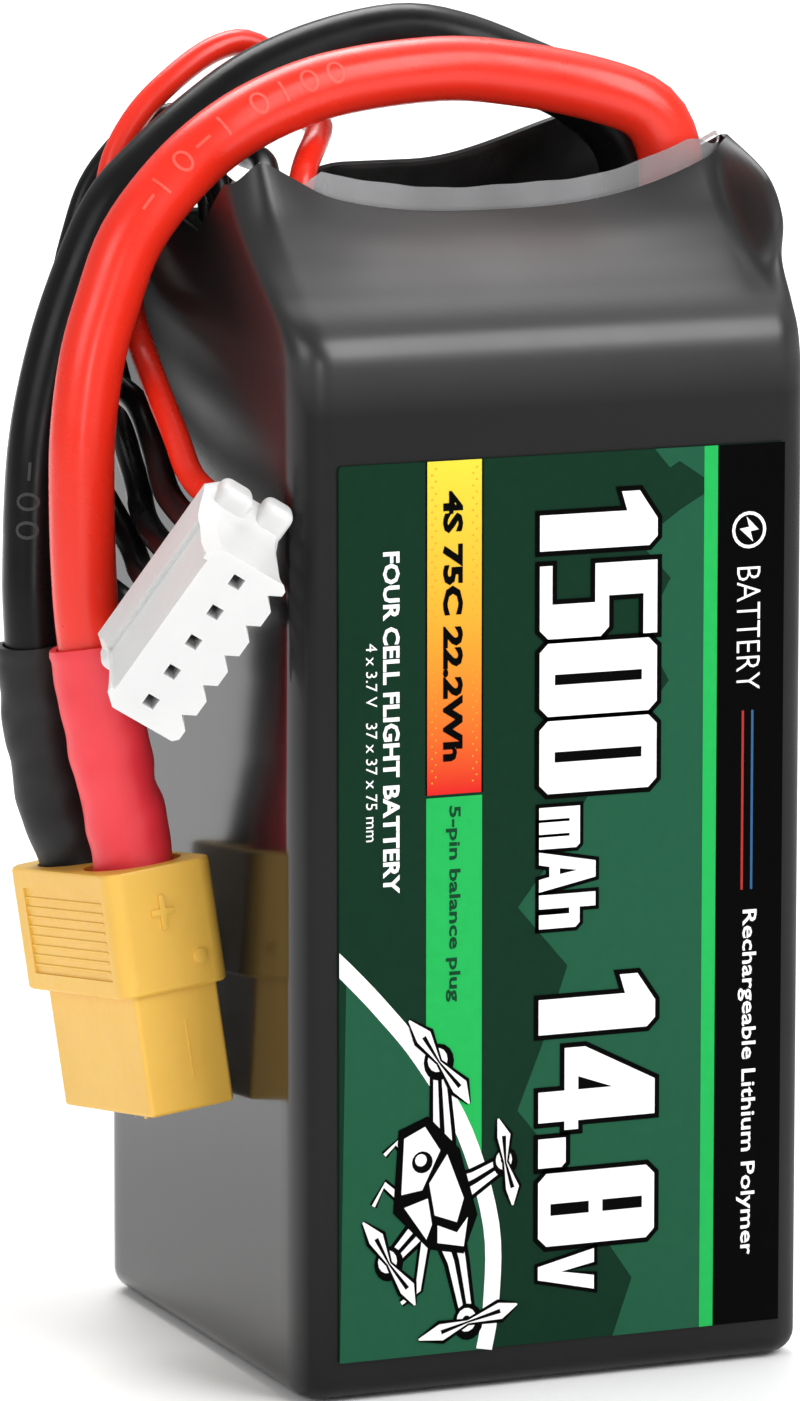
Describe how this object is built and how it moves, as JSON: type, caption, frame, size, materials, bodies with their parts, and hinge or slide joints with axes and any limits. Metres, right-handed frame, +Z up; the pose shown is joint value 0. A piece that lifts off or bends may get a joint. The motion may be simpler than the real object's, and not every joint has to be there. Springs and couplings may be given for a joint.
{
  "type": "lithium polymer battery pack",
  "caption": "Upright shrink-wrapped pouch-cell battery pack with a printed front label, two thick power leads to a yellow plug, and thin balance wires to a white plug.",
  "frame": {"origin": "middle of the footprint, on the surface that the pack stands on", "axes": "+Z up along the cells, towards the lead exit; the label faces -Y; the leads hang down beside the -X face"},
  "size_m": [0.0511, 0.044, 0.0905],
  "materials": {
    "wrap": "black shrink film, satin to gloss",
    "film": "clear film",
    "label": "printed film label",
    "pouch": "coated foil pouch",
    "tape": "double-sided tape",
    "foam": "closed-cell foam",
    "aluminium_tab": "rolled strip",
    "nickel_tab": "nickel-plated strip",
    "board": "solder-masked circuit board",
    "paper": "insulation paper",
    "solder": "tinned copper strands",
    "red_rubber": "silicone insulation, satin",
    "black_rubber": "silicone insulation, satin",
    "red_sleeve": "heat-shrink sleeve",
    "black_sleeve": "heat-shrink sleeve",
    "plug": "moulded nylon",
    "gold": "gold-plated contact",
    "nylon": "moulded nylon",
    "tin": "tinned contact strip"
  },
  "bodies": {
    "root": {"balance_plug_housing": "nylon", "balance_terminal_1": "tin", "balance_terminal_2": "tin", "balance_terminal_3": "tin", "balance_terminal_4": "tin", "balance_terminal_5": "tin", "balance_wire_1": "red_rubber", "balance_wire_2": "black_rubber", "balance_wire_3": "black_rubber", "balance_wire_4": "black_rubber", "balance_wire_5": "black_rubber", "board_insulation": "paper", "cell_1": "pouch", "cell_1_negative_tab": "nickel_tab", "cell_1_positive_tab": "aluminium_tab", "cell_2": "pouch", "cell_2_negative_tab": "nickel_tab", "cell_2_positive_tab": "aluminium_tab", "cell_3": "pouch", "cell_3_negative_tab": "nickel_tab", "cell_3_positive_tab": "aluminium_tab", "cell_4": "pouch", "cell_4_negative_tab": "nickel_tab", "cell_4_positive_tab": "aluminium_tab", "cell_tape_1": "tape", "cell_tape_2": "tape", "cell_tape_3": "tape", "connection_board": "board", "foot_pad": "foam", "front_label": "label", "inner_film": "film", "negative_contact": "gold", "negative_lead": "black_rubber", "negative_lead_board_end": "solder", "negative_lead_plug_end": "solder", "negative_sleeve": "black_sleeve", "outer_wrap": "wrap", "positive_contact": "gold", "positive_lead": "red_rubber", "positive_lead_board_end": "solder", "positive_lead_plug_end": "solder", "positive_sleeve": "red_sleeve", "power_plug_block": "plug", "power_plug_cap": "plug"}
  },
  "joints": []
}
